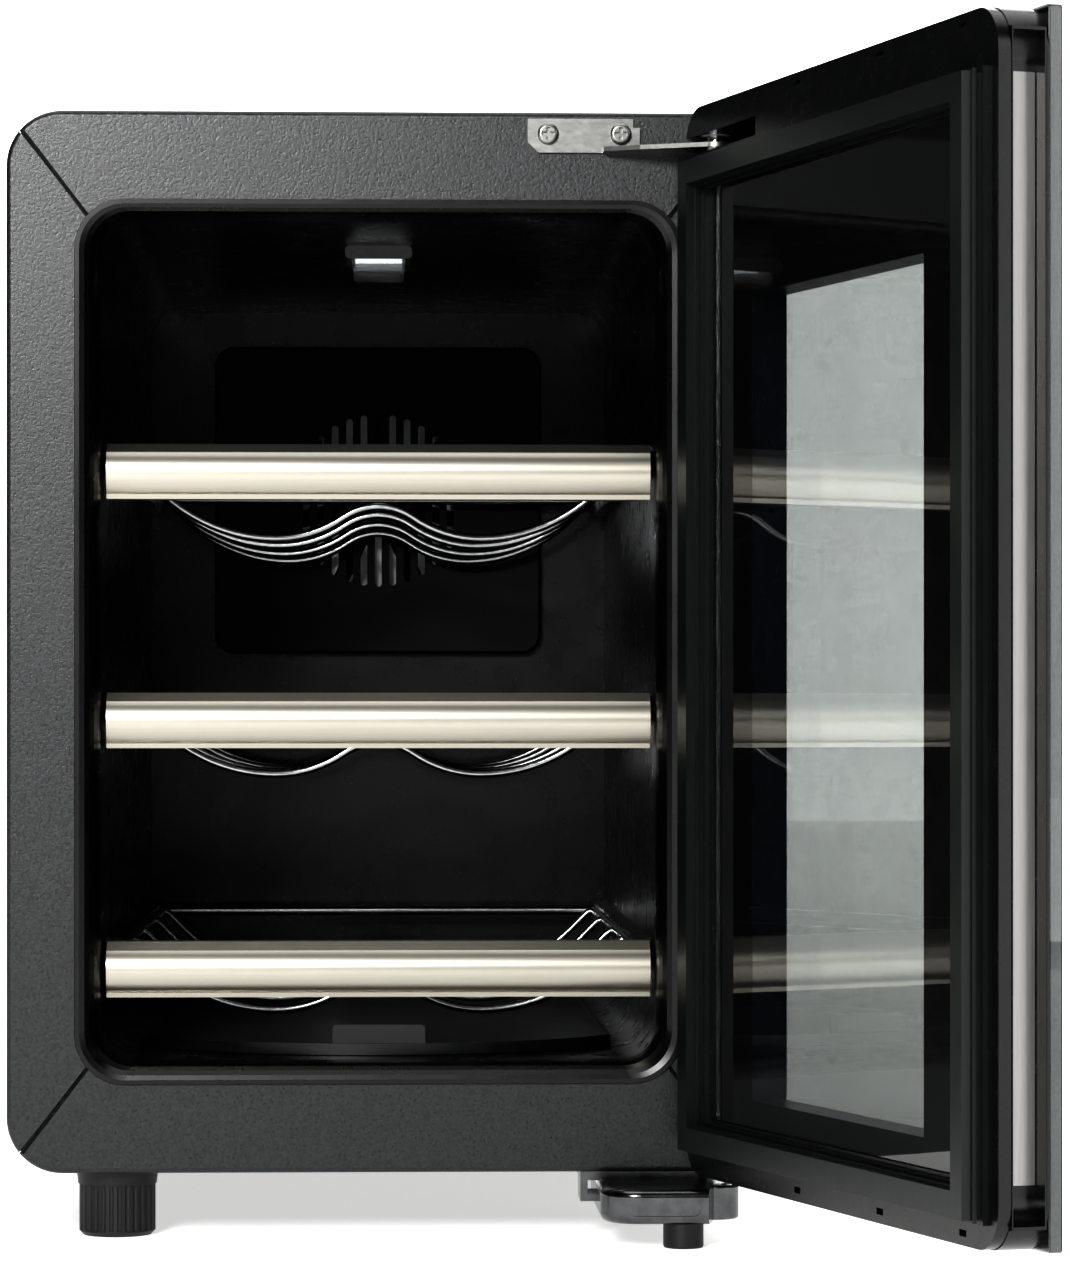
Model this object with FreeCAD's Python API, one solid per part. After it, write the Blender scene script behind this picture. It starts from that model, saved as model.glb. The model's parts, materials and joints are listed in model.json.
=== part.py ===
"""Six-bottle thermoelectric wine cooler, as separate pieces, in millimetres.

Frame: X to the right, Y into the depth (the door side faces -Y), Z up.
The origin is on the floor, under the centre of the cabinet's footprint.
The door is built closed and then swung open about its hinge axis.
"""
import FreeCAD
import Part
import math
import os

V = FreeCAD.Vector

# ---- driving dimensions ----------------------------------------------------
WIDTH = 252.0            # cabinet and door width
HEIGHT = 360.0           # cabinet and door height, without the feet
DEPTH = 470.0            # cabinet depth, without the door
FOOT_HEIGHT = 22.5       # floor to the cabinet's underside
CORNER_R = 19.0          # outer corner radius of the cabinet
FRAME_DEPTH = 8.0        # thickness of the front frame
BAND_SIDE = 23.0         # width of the front frame at the sides
BAND_TOP = 30.0          # width of the front frame at top and bottom
MOUTH_R = 17.0           # inner corner radius of the front frame
SHELL = 1.2              # sheet thickness of the outer shell
BASE_SIDE = 19.0         # height of the base pan's sides
ROOM_HALF = 94.5         # half width of the room inside
ROOM_LOW = 37.8          # floor of the room above the underside
ROOM_HIGH = 323.5        # ceiling of the room above the underside
ROOM_DEPTH = 361.0       # front face to the back wall of the room
LINER = 2.0              # wall of the inner liner
BULKHEAD_AT = 418.0      # front face to the sheet behind the foam
FAN_Z = 245.0            # height of both fans above the underside
DOOR_GAP = 8.0           # front face to the closed door's inner plane
DOOR_THICK = 20.0        # door thickness
DOOR_R = 14.0            # corner radius of the door
HINGE_X = 113.5          # hinge axis
HINGE_OUT = 14.4         # hinge axis in front of the front face
DOOR_OPEN = 107.0        # opening angle as built, degrees
WINDOW_HALF = 69.0       # half width of the window
WINDOW_LOW = 29.0        # window above the door's bottom edge
WINDOW_HIGH = 293.0
TRIM_WIDTH = 186.0       # shelf trim
TRIM_HEIGHT = 19.0
SHELF_PITCH = 85.2       # spacing of the shelves
LOWEST_TRIM = 58.7       # bottom edge of the lowest trim above the underside
RACK_END = 349.0         # rear wire of a rack behind the front face
RACK_WIRES = (102.0, 172.0, 261.0, RACK_END)   # wave wires behind the front face
WIRE_R = 1.5             # wave wire
ROD_R = 2.0              # side rod of a rack
FOOT_X = -89.5           # adjustable front foot
FOOT_IN = 20.0           # its centre behind the front face

FRONT = -DEPTH / 2
AXIS_Y = FRONT - HINGE_OUT
DOOR_IN = FRONT - DOOR_GAP

# ---- sizes of the pieces ---------------------------------------------------------
ROOM_R = 12.0            # inner corner radius of the room
FLARE_DEPTH = 14.0       # depth of the liner's curved mouth
LIP = 1.2                # liner's lip in front of the front frame
LIP_WIDTH = 1.7
LEDGE_AT = 34.0          # front end of the shelf rails
LEDGE_REACH = 5.5        # how far a rail stands out of the room's wall
RAIL_GAP = 0.3           # air above and below a side rod
EDGE_R = 2.0             # rounding of the front frame's outer edge
MITRE_REACH = 0.7        # share of the band that a mitre seam crosses
MITRE_GAP = 0.25         # half width of a mitre seam
MITRE_BEVEL = 0.75       # half width of the seam's bevelled edges at the face
RECESS_HALF_X = 60.0     # recess for the cold sink
RECESS_LOW = FAN_Z - 56.0
RECESS_HIGH = FAN_Z + 56.0
RECESS_DEPTH = 396.0
BLOCK_HALF = 20.0        # aluminium block and thermoelectric module
TOP_SCREWS_X = (57.3, 82.0)
TOP_SCREW_Z = 352.3
TOP_PIN_R = 3.0
BOTTOM_PIN_R = 3.5
BUSH_R = 5.0
STUD_R = 4.0
BRACE_X = 101.6          # small foot under the hinge bracket
BRACE_OUT = 27.0
BRACKET_SCREWS = ((84.0, FRONT + 18.0), (84.0, FRONT + 36.0), (106.0, FRONT + 36.0))
INLET_X = -80.0
INLET_Z = 50.0
REAR_SCREWS = [(x, z) for x in (-118.0, 118.0) for z in (40.0, 180.0, 320.0)]
TRIM_FRONT = 12.0        # trim's front and back, behind the front face
TRIM_BACK = 27.0
CREST_TO_ROD = 14.0      # wave crest up to the side rods
ROD_RISE = 1.6 + CREST_TO_ROD
ROD_X = 90.0
SHELF_SCREWS_X = (-60.0, 60.0)
INNER_FRAME = 4.0        # thickness of the door's inner frame
SPACER = 7.0             # width of the glass spacer
SPACER_AT = 4.0          # inner pane's back, where the spacer starts
GLASS_AT = 16.0          # outer pane's inner face
PANE_HALF = 99.0
PANE_LOW = 20.5
PANE_HIGH = 331.5
GRIP_TO = 15.0           # finger grip, from the inner frame to here
GRIP_DEEP = 7.5
GRIP_LOW = 7.0
GRIP_HIGH = 353.0
GRIP_FLOOR = 6.1         # depth of the channel's floor
GRIP_RUN = 11.0          # length of the channel's curved ends
GRIP_SIDE = 0.5          # walls along the channel
GRIP_CAP = 1.0           # walls at the channel's ends
STRIP_THICK = 0.5        # metal strip let into the channel's floor
STRIP_EDGE = 0.3         # channel's floor that shows along the strip
SEAL_X = -2.0            # gasket's centre line
SEAL_HALF = 111.0
SEAL_LOW = 13.4
SEAL_HIGH = 336.7


# ---- helpers -----------------------------------------------------------------
def at(depth):
    """Y of a plane this far behind the front face."""
    return FRONT + depth


def up(height):
    """Z of a height above the cabinet's underside."""
    return FOOT_HEIGHT + height


def box(x0, x1, y0, y1, z0, z1):
    return Part.makeBox(x1 - x0, y1 - y0, z1 - z0, V(x0, y0, z0))


def rod(x, y, z, radius, length, direction):
    return Part.makeCylinder(radius, length, V(x, y, z), V(*direction))


def fuse(shapes):
    """One clean solid from shapes that touch or overlap."""
    shapes = list(shapes)
    joined = shapes[0]
    for shape in shapes[1:]:
        joined = joined.fuse(shape)
    return joined.removeSplitter()


def prism_y(points, y0, y1):
    """Polygon of (x, z) points pushed from y0 to y1."""
    corners = [V(x, y0, z) for x, z in points]
    face = Part.Face(Part.makePolygon(corners + corners[:1]))
    return face.extrude(V(0, y1 - y0, 0))


def prism_z(points, z0, z1):
    """Polygon of (x, y) points pushed from z0 to z1."""
    corners = [V(x, y, z0) for x, y in points]
    face = Part.Face(Part.makePolygon(corners + corners[:1]))
    return face.extrude(V(0, 0, z1 - z0))


def rounded_wire(x0, x1, z0, z1, radius, y):
    """Rounded rectangle in an upright plane at y."""
    k = radius * (1 - math.sqrt(0.5))
    line = Part.LineSegment
    edges = [
        line(V(x0 + radius, y, z0), V(x1 - radius, y, z0)),
        Part.Arc(V(x1 - radius, y, z0), V(x1 - k, y, z0 + k), V(x1, y, z0 + radius)),
        line(V(x1, y, z0 + radius), V(x1, y, z1 - radius)),
        Part.Arc(V(x1, y, z1 - radius), V(x1 - k, y, z1 - k), V(x1 - radius, y, z1)),
        line(V(x1 - radius, y, z1), V(x0 + radius, y, z1)),
        Part.Arc(V(x0 + radius, y, z1), V(x0 + k, y, z1 - k), V(x0, y, z1 - radius)),
        line(V(x0, y, z1 - radius), V(x0, y, z0 + radius)),
        Part.Arc(V(x0, y, z0 + radius), V(x0 + k, y, z0 + k), V(x0 + radius, y, z0)),
    ]
    return Part.Wire([edge.toShape() for edge in edges])


def slab(x0, x1, z0, z1, radius, y0, y1):
    """Rounded rectangle pushed from y0 to y1."""
    return Part.Face(rounded_wire(x0, x1, z0, z1, radius, y0)).extrude(V(0, y1 - y0, 0))


def cabinet_slab(inset, y0, y1):
    """The cabinet's outline, drawn in by inset."""
    half = WIDTH / 2 - inset
    return slab(-half, half, up(inset), up(HEIGHT - inset), CORNER_R - inset, y0, y1)


def fillet_at(shape, radius, test):
    """Rounds the edges whose middle point passes the test."""
    chosen = [edge for edge in shape.Edges if test(edge.CenterOfMass)]
    return shape.makeFillet(radius, chosen)


def pan_head_screw(x, y, z, head_r, head_h, shank_r, shank_l):
    """Phillips pan-head screw that points along +Y, its head's underside at y."""
    head = rod(x, y, z, head_r, head_h, (0, -1, 0))
    head = fillet_at(head, head_h * 0.6, lambda c: c.y < y - head_h + 0.01)
    shank = rod(x, y, z, shank_r, shank_l, (0, 1, 0))
    arm, half, sink = head_r * 0.6, head_r * 0.17, head_h * 0.7
    top = y - head_h
    cross_a = box(x - arm, x + arm, top - 1, top + sink, z - half, z + half)
    cross_b = box(x - half, x + half, top - 1, top + sink, z - arm, z + arm)
    return head.fuse(shank).cut(cross_a.fuse(cross_b)).removeSplitter()


def save(name, shape):
    shape.exportStep("parts/" + name + ".step")


# ---- cabinet casing ------------------------------------------------------------
def mitre_bevel(outer, inner):
    """V-shaped groove in the front face, from the outer corner to the inner one."""
    along = inner - outer
    aside = V(along.z, 0, -along.x).normalize() * MITRE_BEVEL
    wire = Part.makePolygon([outer - aside, outer + aside, outer + V(0, MITRE_BEVEL, 0), outer - aside])
    return Part.Face(wire).extrude(along)


def front_frame():
    """Four bands of the front frame, mitred where they meet."""
    half, mouth = WIDTH / 2, WIDTH / 2 - BAND_SIDE
    low, high = BAND_TOP, HEIGHT - BAND_TOP
    outer = cabinet_slab(0.0, FRONT, at(FRAME_DEPTH))
    outer = fillet_at(outer, EDGE_R, lambda c: abs(c.y - FRONT) < 0.01)
    front, back = FRONT - 1, at(FRAME_DEPTH + 1)
    ring = outer.cut(slab(-mouth, mouth, up(low), up(high), MOUTH_R, front, back))
    in_x = mouth - MITRE_REACH * BAND_SIDE
    in_low, in_high = low + MITRE_REACH * BAND_TOP, high - MITRE_REACH * BAND_TOP
    out_x = half + 5 * MITRE_GAP
    for side in (-1, 1):
        for outer_z, inner_z in ((0.0, in_low), (HEIGHT, in_high)):
            corners = [(side * out_x, up(outer_z) - MITRE_GAP), (side * in_x, up(inner_z) - MITRE_GAP),
                       (side * in_x, up(inner_z) + MITRE_GAP), (side * out_x, up(outer_z) + MITRE_GAP)]
            ring = ring.cut(prism_y(corners, front, back))
            corner = V(side * half, FRONT, up(outer_z))
            ring = ring.cut(mitre_bevel(corner, V(side * in_x, FRONT, up(inner_z))))
    probe_in = 5.0
    probes = {"top": (0, HEIGHT - probe_in), "bottom": (0, probe_in),
              "left": (-half + probe_in, HEIGHT / 2), "right": (half - probe_in, HEIGHT / 2)}
    for name, (x, z) in probes.items():
        probe = V(x, at(FRAME_DEPTH / 2), up(z))
        band = [solid for solid in ring.Solids if solid.isInside(probe, 0.01, True)][0]
        if name == "top":
            for screw_x in TOP_SCREWS_X:
                band = band.cut(rod(screw_x, FRONT - 1, up(TOP_SCREW_Z), 1.5, FRAME_DEPTH + 2, (0, 1, 0)))
        save("front_frame_" + name, band)


def outer_shell():
    """Wrap of painted sheet: two sides and the top in one piece, open below the base's sides."""
    wrap = cabinet_slab(0.0, at(FRAME_DEPTH), at(DEPTH - 4))
    wrap = wrap.cut(cabinet_slab(SHELL, at(FRAME_DEPTH - 1), at(DEPTH)))
    return wrap.cut(box(-WIDTH, WIDTH, FRONT, -FRONT, 0, up(BASE_SIDE)))


def base_pan():
    """Moulded base with rounded lower corners, and a threaded boss for the adjustable foot."""
    wall = 1.5
    pan = cabinet_slab(0.0, at(FRAME_DEPTH), at(DEPTH - 4))
    pan = pan.cut(cabinet_slab(wall, at(FRAME_DEPTH - 1), at(DEPTH)))
    pan = pan.cut(box(-WIDTH, WIDTH, FRONT, -FRONT, up(BASE_SIDE - 0.2), up(HEIGHT + 1)))
    pan = pan.fuse(rod(FOOT_X, at(FOOT_IN), up(0), 8.0, 22.0, (0, 0, 1)))
    pan = pan.cut(rod(FOOT_X, at(FOOT_IN), up(-1), STUD_R + 0.05, 24.0, (0, 0, 1)))
    for x, y in BRACKET_SCREWS:
        pan = pan.cut(rod(x, y, up(-1), 1.6, 4.0, (0, 0, 1)))
    return pan.removeSplitter()


def flare(start_half, start_low, start_high, y0, end_y, over):
    """Curved mouth of the liner: rounded sections that shrink from the front frame to the room."""
    steps = 6
    wires = [rounded_wire(-start_half, start_half, up(start_low), up(start_high), MOUTH_R, y0 - over)]
    for i in range(steps + 1):
        angle = math.pi / 2 * i / steps
        share = math.sin(angle)
        y = y0 + (end_y - y0) * (1 - math.cos(angle))
        half = start_half + (ROOM_HALF - start_half) * share
        low = start_low + (ROOM_LOW - start_low) * share
        high = start_high + (ROOM_HIGH - start_high) * share
        radius = MOUTH_R - 1.5 + (ROOM_R - MOUTH_R + 1.5) * share
        wires.append(rounded_wire(-half, half, up(low), up(high), radius, y))
    return Part.makeLoft(wires, True, True)


def liner_outside():
    """The space that the liner takes up in the foam."""
    mouth = WIDTH / 2 - BAND_SIDE - 0.2
    low, high = BAND_TOP + 0.2, HEIGHT - BAND_TOP - 0.2
    front = slab(-mouth, mouth, up(low), up(high), MOUTH_R - 0.2, at(-LIP), at(FLARE_DEPTH + 1))
    half = ROOM_HALF + LINER
    room = slab(-half, half, up(ROOM_LOW - LINER), up(ROOM_HIGH + LINER), ROOM_R + LINER,
                at(FLARE_DEPTH), at(ROOM_DEPTH + LINER))
    x, z0, z1 = RECESS_HALF_X + LINER, RECESS_LOW - LINER, RECESS_HIGH + LINER
    return fuse([front, room, box(-x, x, at(ROOM_DEPTH), at(RECESS_DEPTH + LINER), up(z0), up(z1))])


def inner_liner():
    """Liner with a raised lip, a curved mouth, rails for the racks and a recess for the cold sink."""
    room = slab(-ROOM_HALF, ROOM_HALF, up(ROOM_LOW), up(ROOM_HIGH), ROOM_R,
                at(FLARE_DEPTH - 0.01), at(ROOM_DEPTH))
    recess = box(-RECESS_HALF_X, RECESS_HALF_X, at(ROOM_DEPTH - 1), at(RECESS_DEPTH),
                 up(RECESS_LOW), up(RECESS_HIGH))
    mouth = WIDTH / 2 - BAND_SIDE - LIP_WIDTH
    curved = flare(mouth, BAND_TOP + LIP_WIDTH, HEIGHT - BAND_TOP - LIP_WIDTH, at(-LIP), at(FLARE_DEPTH), 1.0)
    liner = liner_outside().cut(room).cut(recess).cut(curved)
    block = BLOCK_HALF + 0.1
    liner = liner.cut(box(-block, block, at(RECESS_DEPTH - 1), at(RECESS_DEPTH + LINER + 1),
                          up(FAN_Z) - block, up(FAN_Z) + block))
    rails = []
    lower, upper = 4.0, 1.5
    for number in range(3):
        rod_z = up(shelf_base(number) + ROD_RISE)
        under, over = rod_z - ROD_R - RAIL_GAP, rod_z + ROD_R + RAIL_GAP
        for side in (-1, 1):
            x0, x1 = sorted((side * (ROOM_HALF - LEDGE_REACH), side * (ROOM_HALF + 0.5)))
            rails.append(box(x0, x1, at(LEDGE_AT), at(ROOM_DEPTH - 6), under - lower, under))
            rails.append(box(x0, x1, at(LEDGE_AT), at(ROOM_DEPTH - 6), over, over + upper))
    return fuse([liner] + rails)


def foam_insulation():
    """Foam that fills the space between the liner and the outer casing."""
    foam = cabinet_slab(1.7, at(FRAME_DEPTH + 0.1), at(BULKHEAD_AT))
    foam = foam.cut(liner_outside())
    foam = foam.cut(rod(FOOT_X, at(FOOT_IN), up(-1), 8.2, 46.0, (0, 0, 1)))
    block = BLOCK_HALF + 0.2
    foam = foam.cut(box(-block, block, at(RECESS_DEPTH), at(BULKHEAD_AT + 1),
                        up(FAN_Z) - block, up(FAN_Z) + block))
    for x, y in BRACKET_SCREWS:
        foam = foam.cut(rod(x, y, up(-1), 3.0, 14.0, (0, 0, 1)))
    for x in TOP_SCREWS_X:
        foam = foam.cut(rod(x, at(FRAME_DEPTH - 1), up(TOP_SCREW_Z), 3.0, 10.0, (0, 1, 0)))
    return foam


def rear_bulkhead():
    """Sheet that closes the foam at the back."""
    sheet = cabinet_slab(1.8, at(BULKHEAD_AT), at(BULKHEAD_AT + 1))
    block = BLOCK_HALF + 0.2
    return sheet.cut(box(-block, block, at(BULKHEAD_AT - 1), at(BULKHEAD_AT + 2),
                         up(FAN_Z) - block, up(FAN_Z) + block))


def rear_cover():
    """Back cover with fan slots, lower air slots, a cut-out for the mains inlet and screw holes."""
    cover = cabinet_slab(0.0, at(DEPTH - 4), at(DEPTH))
    cover = cover.cut(cabinet_slab(2.0, at(DEPTH - 4) - 1, at(DEPTH - 2)))
    rim = cabinet_slab(2.0, at(DEPTH - 4), at(DEPTH - 2))
    cover = cover.fuse(rim.cut(cabinet_slab(10.0, at(DEPTH - 5), at(DEPTH - 1))))
    slots = []
    pitch, slot_h = 7.0, 3.4
    for i in range(-5, 6):
        z = FAN_Z + pitch * i
        half = math.sqrt(44.0 ** 2 - (pitch * i) ** 2)
        slots.append(slab(-half, half, up(z - slot_h / 2), up(z + slot_h / 2), slot_h / 2 - 0.05,
                          at(DEPTH - 3), at(DEPTH + 1)))
    for i in range(8):
        z = 100.0 + pitch * i
        slots.append(slab(-70, 70, up(z - slot_h / 2), up(z + slot_h / 2), slot_h / 2 - 0.05,
                          at(DEPTH - 3), at(DEPTH + 1)))
    for slot in slots:
        cover = cover.cut(slot)
    inlet_x, inlet_z = 14.2, 10.7
    cover = cover.cut(box(INLET_X - inlet_x, INLET_X + inlet_x, at(DEPTH - 5), at(DEPTH + 1),
                          up(INLET_Z - inlet_z), up(INLET_Z + inlet_z)))
    for x, z in REAR_SCREWS:
        cover = cover.cut(rod(x, at(DEPTH - 5), up(z), 1.7, 6.0, (0, 1, 0)))
    return cover.removeSplitter()


def rear_screws():
    screws = []
    for x, z in REAR_SCREWS:
        screw = pan_head_screw(x, at(DEPTH), up(z), 3.4, 1.8, 1.5, 12.0)
        screw.rotate(V(x, at(DEPTH), up(z)), V(0, 0, 1), 180)
        screws.append(screw)
    return Part.makeCompound(screws)


# ---- feet ---------------------------------------------------------------------
def front_foot():
    """Fluted levelling knob with a plain, slightly flared collar."""
    radius, collar = 13.6, 5.0
    y = at(FOOT_IN)
    body = rod(FOOT_X, y, 0, radius - 0.6, FOOT_HEIGHT - collar, (0, 0, 1))
    body = body.makeChamfer(1.5, [edge for edge in body.Edges if edge.CenterOfMass.z < 0.01])
    flutes = 30
    for i in range(flutes):
        angle = 2 * math.pi * i / flutes
        cut = rod(FOOT_X + radius * math.cos(angle), y + radius * math.sin(angle), 2.0, 0.95,
                  FOOT_HEIGHT - collar - 2.0, (0, 0, 1))
        body = body.cut(cut)
    cone = Part.makeCone(radius - 0.2, radius + 0.4, collar, V(FOOT_X, y, FOOT_HEIGHT - collar), V(0, 0, 1))
    knob = body.fuse(cone)
    knob = knob.cut(rod(FOOT_X, y, FOOT_HEIGHT - 11.0, STUD_R + 0.05, 12.0, (0, 0, 1)))
    above = box(-WIDTH, WIDTH, FRONT - 50, -FRONT, FOOT_HEIGHT - 0.3, FOOT_HEIGHT + 5)
    return knob.cut(above).removeSplitter()


def front_foot_stud():
    """Metal stud that carries the knob and screws into the base."""
    return rod(FOOT_X, at(FOOT_IN), FOOT_HEIGHT - 10.5, STUD_R, 38.0, (0, 0, 1))


def rear_feet():
    feet = []
    for x in (-92.0, 92.0):
        foot = Part.makeCone(12.0, 13.5, FOOT_HEIGHT, V(x, at(DEPTH - 42), 0), V(0, 0, 1))
        feet.append(fillet_at(foot, 1.2, lambda c: c.z < 0.01))
    return Part.makeCompound(feet)


# ---- hinges --------------------------------------------------------------------
def top_hinge_plate():
    """Bent steel plate on the front frame; its arm reaches forward under the door's top rail."""
    x0, x1 = 50.5, 88.5
    z0, z1 = up(346.0), up(357.5)
    cut, notch_x, notch_z, sheet = 3.5, 2.2, 3.0, 1.5
    outline = [(x0 + cut, z0), (x1, z0), (x1, z1 - notch_z), (x1 - notch_x, z1 - notch_z),
               (x1 - notch_x, z1), (x0, z1), (x0, z0 + cut)]
    plate = prism_y(outline, FRONT, FRONT - sheet)
    tip = HINGE_X - 37.5
    arm = prism_z([(tip, FRONT), (HINGE_X - 3.0, FRONT), (HINGE_X + 5.4, AXIS_Y + 3.6),
                   (HINGE_X - 3.0, AXIS_Y - 5.7), (tip + 12, AXIS_Y + 3.0), (tip, FRONT - 5.5)],
                  z0, z0 + sheet)
    arm = arm.fuse(rod(HINGE_X, AXIS_Y, z0, 6.4, sheet, (0, 0, 1)))
    whole = plate.fuse(arm)
    for x in TOP_SCREWS_X:
        whole = whole.cut(rod(x, FRONT - 3, up(TOP_SCREW_Z), 1.6, 4.0, (0, 1, 0)))
    return whole.cut(rod(HINGE_X, AXIS_Y, z0 - 1, 2.0, 4.0, (0, 0, 1))).removeSplitter()


def top_hinge_pin():
    """Stepped pin riveted into the arm, which turns in the top bush."""
    z0 = up(346.0)
    pin = rod(HINGE_X, AXIS_Y, z0, 2.0, 1.5, (0, 0, 1))
    pin = pin.fuse(rod(HINGE_X, AXIS_Y, z0 + 1.5, TOP_PIN_R, 9.5, (0, 0, 1)))
    pin = pin.fuse(rod(HINGE_X, AXIS_Y, z0 - 1.0, 3.4, 1.0, (0, 0, 1)))
    return pin.removeSplitter()


def top_hinge_screws():
    return Part.makeCompound([pan_head_screw(x, FRONT - 1.5, up(TOP_SCREW_Z), 3.6, 2.0, 1.45, 12.0)
                              for x in TOP_SCREWS_X])


def bottom_hinge_bracket():
    """Die-cast bracket below the cabinet: rounded arm, pivot boss, side strap and screw flange."""
    z0, z1 = 8.4, 20.0
    left, front, back = 74.0, at(-36.0), at(44.0)
    bend = 13.0
    k = bend * (1 - math.sqrt(0.5))
    edges = [
        Part.LineSegment(V(left, back, z0), V(left, front + bend, z0)),
        Part.Arc(V(left, front + bend, z0), V(left + k, front + k, z0), V(left + bend, front, z0)),
        Part.LineSegment(V(left + bend, front, z0), V(HINGE_X - 4, front, z0)),
        Part.LineSegment(V(HINGE_X - 4, front, z0), V(HINGE_X, AXIS_Y, z0)),
        Part.LineSegment(V(HINGE_X, AXIS_Y, z0), V(HINGE_X, back, z0)),
        Part.LineSegment(V(HINGE_X, back, z0), V(left, back, z0)),
    ]
    arm = Part.Face(Part.Wire([edge.toShape() for edge in edges])).extrude(V(0, 0, z1 - z0))
    arm = fillet_at(arm, 2.6, lambda c: c.y < at(-2) and (abs(c.z - z0) < 0.01 or abs(c.z - z1) < 0.01)
                    and c.x < HINGE_X - 3)
    boss = rod(HINGE_X, AXIS_Y, z0, 7.6, z1 - z0, (0, 0, 1))
    boss = boss.makeFillet(1.0, [edge for edge in boss.Edges if abs(edge.CenterOfMass.z - z0) < 0.01
                                 or abs(edge.CenterOfMass.z - z1) < 0.01])
    flange = box(left - 5.5, HINGE_X + 6, at(2), back, z1 - 0.5, up(0))
    strap = box(left - 5.5, left - 3.0, at(2), at(20), z0 + 4, z1)
    foot = box(left - 5.5, left + 1.0, at(2), at(20), z0 + 4, z0 + 6.5)
    whole = arm.fuse(boss).fuse(flange).fuse(strap).fuse(foot)
    panel = slab(left + 9, HINGE_X - 6.5, z0 + 2.8, z1 - 2.8, 2.4, front - 1, front + 0.7)
    whole = whole.cut(panel)
    whole = whole.cut(rod(HINGE_X, AXIS_Y, z0 + 2, BOTTOM_PIN_R, z1, (0, 0, 1)))
    whole = whole.cut(rod(BRACE_X, at(-BRACE_OUT), z0 - 1, 3.0, 7.0, (0, 0, 1)))
    for x, y in BRACKET_SCREWS:
        whole = whole.cut(rod(x, y, z0 - 1, 1.6, 30.0, (0, 0, 1)))
        whole = whole.cut(rod(x, y, z0 - 1, 3.8, 9.0, (0, 0, 1)))
    return whole.removeSplitter()


def bottom_hinge_pin():
    """Steel pin pressed into the bracket's boss, which turns in the bottom bush."""
    pin = rod(HINGE_X, AXIS_Y, 10.4, BOTTOM_PIN_R, up(10.0) - 10.4, (0, 0, 1))
    return pin.makeChamfer(0.6, [edge for edge in pin.Edges if edge.CenterOfMass.z > up(9.9)])


def bottom_hinge_screws():
    screws = []
    for x, y in BRACKET_SCREWS:
        screw = pan_head_screw(x, y, 16.4, 3.4, 1.9, 1.5, 16.0)
        screw.rotate(V(x, y, 16.4), V(1, 0, 0), 90)
        screws.append(screw)
    return Part.makeCompound(screws)


def hinge_foot():
    """Small support foot, its spigot in the bracket."""
    x, y = BRACE_X, at(-BRACE_OUT)
    foot = rod(x, y, 0, 6.75, 8.4, (0, 0, 1))
    foot = fillet_at(foot, 0.8, lambda c: c.z < 0.01)
    return foot.fuse(rod(x, y, 8.4, 2.95, 5.0, (0, 0, 1))).removeSplitter()


# ---- cooling ---------------------------------------------------------------------
def heat_sink(half_x, half_z, base_y0, base_y1, fin_y, count):
    """Base plate with upright fins that end at fin_y."""
    base = box(-half_x, half_x, base_y0, base_y1, up(FAN_Z) - half_z, up(FAN_Z) + half_z)
    near, far = sorted((fin_y, (base_y0 + base_y1) / 2))
    thick = 1.4
    fins = []
    for i in range(count):
        x = -half_x + (2 * half_x - thick) * i / (count - 1)
        fins.append(box(x, x + thick, near, far, up(FAN_Z) - half_z, up(FAN_Z) + half_z))
    return fuse([base] + fins)


def fan_frame(half, y0, y1, opening_r, hub_r, strut_y0, strut_y1):
    """Square fan frame with a round duct, four struts and a round motor seat."""
    z = up(FAN_Z)
    frame = slab(-half, half, z - half, z + half, 4.0, y0, y1)
    frame = frame.cut(rod(0, y0 - 1, z, opening_r, y1 - y0 + 2, (0, 1, 0)))
    hole = half - 4.5
    for hole_x in (-hole, hole):
        for hole_z in (z - hole, z + hole):
            frame = frame.cut(rod(hole_x, y0 - 1, hole_z, 2.1, y1 - y0 + 2, (0, 1, 0)))
    seat = rod(0, strut_y0, z, hub_r, strut_y1 - strut_y0, (0, 1, 0))
    struts = []
    for i in range(4):
        strut = box(hub_r - 1, opening_r + 1.0, strut_y0, strut_y1, z - 1.2, z + 1.2)
        strut.rotate(V(0, 0, z), V(0, 1, 0), 45 + 90 * i)
        struts.append(strut)
    return fuse([frame, seat] + struts)


def fan_rotor(y0, y1, hub_r, tip_r, blades):
    """Hub with pitched blades."""
    z = up(FAN_Z)
    hub = rod(0, y0, z, hub_r, y1 - y0, (0, 1, 0))
    pieces = [hub]
    middle, half = (y0 + y1) / 2, (y1 - y0) / 2
    for i in range(blades):
        blade = box(-1.0, 1.0, middle - half * 0.92, middle + half * 0.92, z + hub_r - 2.0, z + tip_r + 6)
        blade.rotate(V(0, middle, z), V(0, 0, 1), 38)
        blade = blade.common(rod(0, y0 + 0.1, z, tip_r, y1 - y0 - 0.2, (0, 1, 0)))
        blade.rotate(V(0, middle, z), V(0, 1, 0), 360.0 * i / blades)
        pieces.append(blade)
    return fuse(pieces)


def interior_fan_cover():
    """Cover over the cold sink: a shallow tray with an air grille and side outlets."""
    half_x, z0, z1 = RECESS_HALF_X + 8, RECESS_LOW - 8, RECESS_HIGH + 8
    y0, y1 = at(ROOM_DEPTH - 5.5), at(ROOM_DEPTH)
    cover = slab(-half_x, half_x, up(z0), up(z1), 8.0, y0, y1)
    cover = fillet_at(cover, 1.5, lambda c: abs(c.y - y0) < 0.01)
    cover = cover.cut(slab(-half_x + 1.6, half_x - 1.6, up(z0 + 1.6), up(z1 - 1.6), 6.4, y0 + 1.6, y1 + 1))
    pitch, slot_w = 6.0, 2.8
    for i in range(-5, 6):
        x = pitch * i
        half = math.sqrt(36.0 ** 2 - x ** 2)
        cover = cover.cut(slab(x - slot_w / 2, x + slot_w / 2, up(FAN_Z - half), up(FAN_Z + half),
                               slot_w / 2 - 0.05, y0 - 1, y0 + 3))
    return cover.removeSplitter()


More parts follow.
